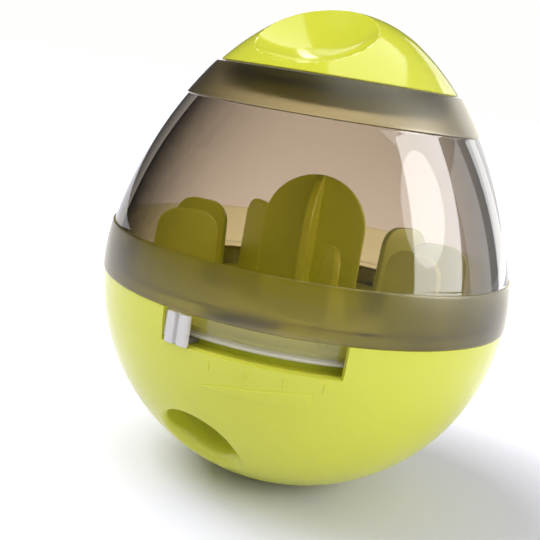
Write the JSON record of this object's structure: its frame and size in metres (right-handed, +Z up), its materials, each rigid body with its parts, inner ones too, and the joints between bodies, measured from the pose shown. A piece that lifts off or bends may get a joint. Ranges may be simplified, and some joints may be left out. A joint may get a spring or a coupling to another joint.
{
  "type": "treat ball",
  "caption": "Egg-shaped treat ball: weighted bowl with an outlet and a lever shutter, clear smoke dome that turns off, and a screw cap with two finger scoops.",
  "frame": {"origin": "centre of the flat foot under the bowl", "axes": "+Z up the egg's axis, -Y towards the front, where the lever and the outlet are"},
  "size_m": [0.1008, 0.1008, 0.1167],
  "materials": {
    "lime_gloss": "moulded lime plastic, glossy",
    "lime_satin": "moulded lime plastic, satin",
    "smoke": "clear smoke plastic, polished window with two frosted bands",
    "grey": "light warm grey plastic, satin",
    "seal": "soft pale silicone",
    "zinc": "zinc-plated steel",
    "weight": "turned steel, bare"
  },
  "bodies": {
    "base": {"base_shell": "lime_gloss", "bottom_cover": "lime_gloss", "cover_screws": "zinc", "counterweight": "weight", "outlet_chute": "lime_satin", "drop_deck": "lime_satin", "deck_screws": "zinc", "hopper_tray": "lime_satin", "centre_baffle": "lime_satin", "pivot_washer": "zinc", "pivot_screw": "zinc"},
    "shutter": {"shutter_plate": "grey", "lever_knob": "grey"},
    "dome": {"dome_shell": "smoke"},
    "seal": {"cap_seal": "seal"},
    "cap": {"fill_cap": "lime_gloss"}
  },
  "joints": [
    {"name": "shutter_turn", "type": "hinge", "parent": "base", "child": "shutter", "pos_m": [0, 0, 0.0413], "axis": [0, 0, 1], "range_deg": [0, 39]},
    {"name": "dome_turn", "type": "hinge", "parent": "base", "child": "dome", "pos_m": [0, 0, 0.0479], "axis": [0, 0, 1], "range_deg": [0, 20]},
    {"name": "cap_lift", "type": "slide", "parent": "dome", "child": "seal", "axis": [0, 0, 1], "range_m": [0, 0.00375]},
    {"name": "cap_turn", "type": "hinge", "parent": "seal", "child": "cap", "pos_m": [0, 0, 0.1006], "axis": [0, 0, 1], "range_deg": [0, 450]}
  ],
  "couplings": [
    {"joint": "cap_lift", "follows": "cap_turn", "m_per_rad": 0.00047746}
  ]
}
